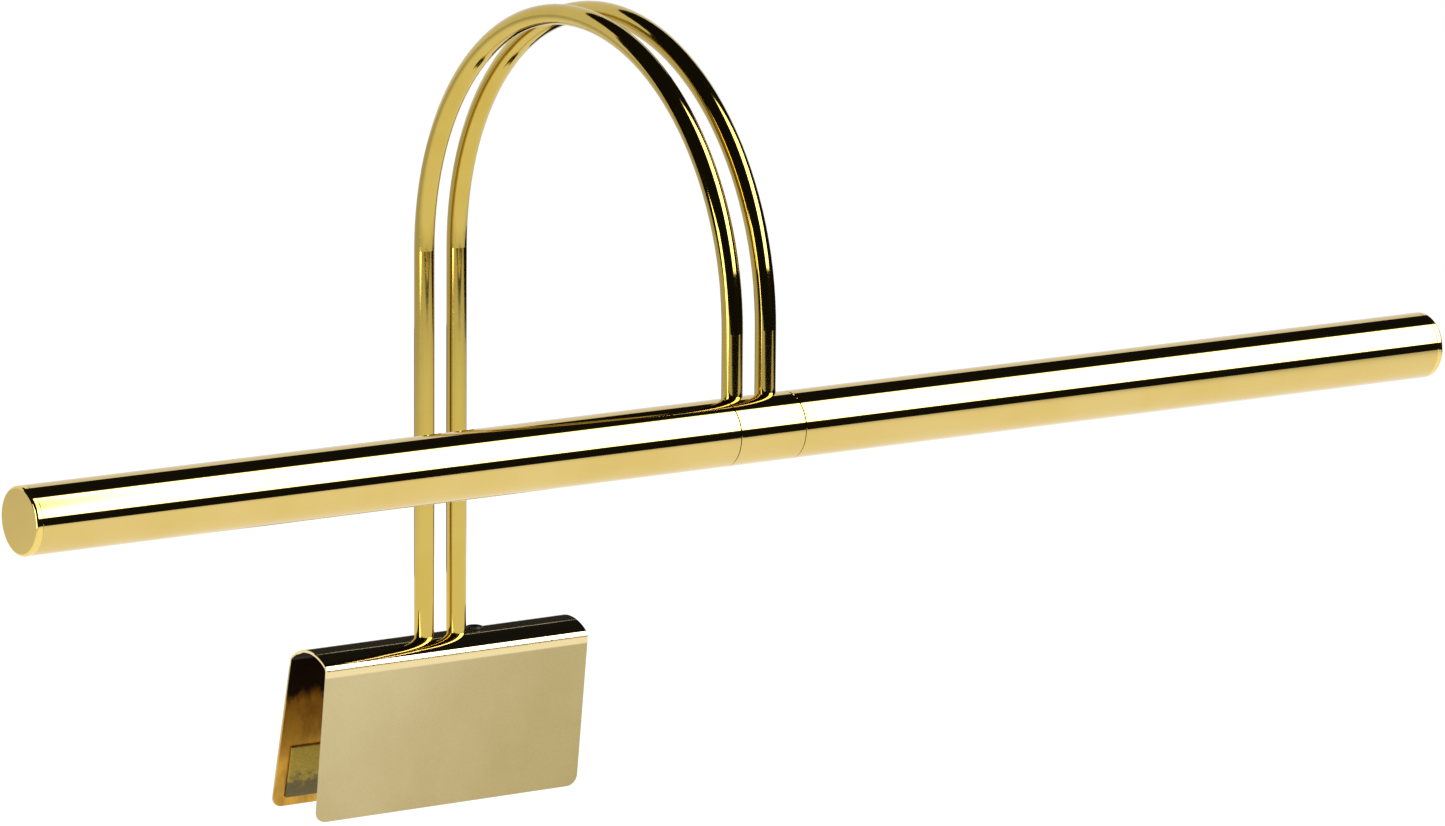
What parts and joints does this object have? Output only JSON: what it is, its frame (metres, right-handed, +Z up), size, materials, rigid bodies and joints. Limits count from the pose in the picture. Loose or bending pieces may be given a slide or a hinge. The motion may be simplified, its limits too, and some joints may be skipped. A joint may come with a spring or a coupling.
{
  "type": "clip-on picture and music-desk light",
  "caption": "Polished brass clip-on light: folded sheet clip, twin arched tube arms and a round bar whose two slotted shades turn on a fixed hub.",
  "frame": {"origin": "middle of the clip's seat, the flat face that rests on the top edge of the panel", "axes": "+X along the bar, +Y to the back away from the bar, +Z up"},
  "size_m": [0.635, 0.2558, 0.3303],
  "materials": {
    "polished_brass": "polished and lacquered",
    "hidden_brass": "as turned",
    "steel": "zinc plated",
    "spring_steel": "hardened and oiled",
    "felt": "pressed wool felt, olive gold",
    "phenolic": "moulded phenolic, dark brown",
    "bushing_plastic": "moulded, black",
    "porcelain": "glazed",
    "reflector_aluminium": "bright rolled",
    "lamp_glass": "clear",
    "insulator_glass": "black glass",
    "solder": "dull",
    "tungsten": "drawn",
    "nickel_wire": "drawn",
    "wire_insulation": "clear gold vinyl",
    "bronze_leaf": "rolled"
  },
  "bodies": {
    "stand": {"arm_left": "polished_brass", "arm_nuts": "hidden_brass", "arm_right": "polished_brass", "arm_set_screws": "steel", "centre_contact_left": "bronze_leaf", "centre_contact_right": "bronze_leaf", "clip_liner_front": "felt", "clip_liner_rear": "felt", "clip_saddle": "polished_brass", "cord_bushing": "bushing_plastic", "cover_screws": "steel", "hub_core": "hidden_brass", "hub_sleeve": "polished_brass", "junction_block": "phenolic", "junction_cover": "phenolic", "lamp_base_left": "hidden_brass", "lamp_base_right": "hidden_brass", "lamp_contact_left": "solder", "lamp_contact_right": "solder", "lamp_filament_left": "tungsten", "lamp_filament_right": "tungsten", "lamp_glass_left": "lamp_glass", "lamp_glass_right": "lamp_glass", "lamp_insulator_left": "insulator_glass", "lamp_insulator_right": "insulator_glass", "lamp_stem_left": "lamp_glass", "lamp_stem_right": "lamp_glass", "lamp_supports_left": "nickel_wire", "lamp_supports_right": "nickel_wire", "lampholder_left": "porcelain", "lampholder_right": "porcelain", "lead_pair_left": "wire_insulation", "lead_pair_right": "wire_insulation", "retaining_ring_left": "spring_steel", "retaining_ring_right": "spring_steel", "screw_shell_left": "bronze_leaf", "screw_shell_right": "bronze_leaf", "seat_pad": "felt", "spring_washer_left": "spring_steel", "spring_washer_right": "spring_steel", "stop_pin_left": "steel", "stop_pin_right": "steel", "terminal_block": "phenolic", "terminal_screws": "steel"},
    "left_shade": {"shade_tube_left": "polished_brass", "shade_collar_left": "hidden_brass", "reflector_left": "reflector_aluminium", "end_cap_left": "polished_brass"},
    "right_shade": {"shade_tube_right": "polished_brass", "shade_collar_right": "hidden_brass", "reflector_right": "reflector_aluminium", "end_cap_right": "polished_brass"}
  },
  "joints": [
    {"name": "left_shade_turn", "type": "hinge", "parent": "stand", "child": "left_shade", "pos_m": [0, -0.215, 0.138], "axis": [1, 0, 0], "range_deg": [-60, 45]},
    {"name": "right_shade_turn", "type": "hinge", "parent": "stand", "child": "right_shade", "pos_m": [0, -0.215, 0.138], "axis": [1, 0, 0], "range_deg": [-60, 45]}
  ]
}
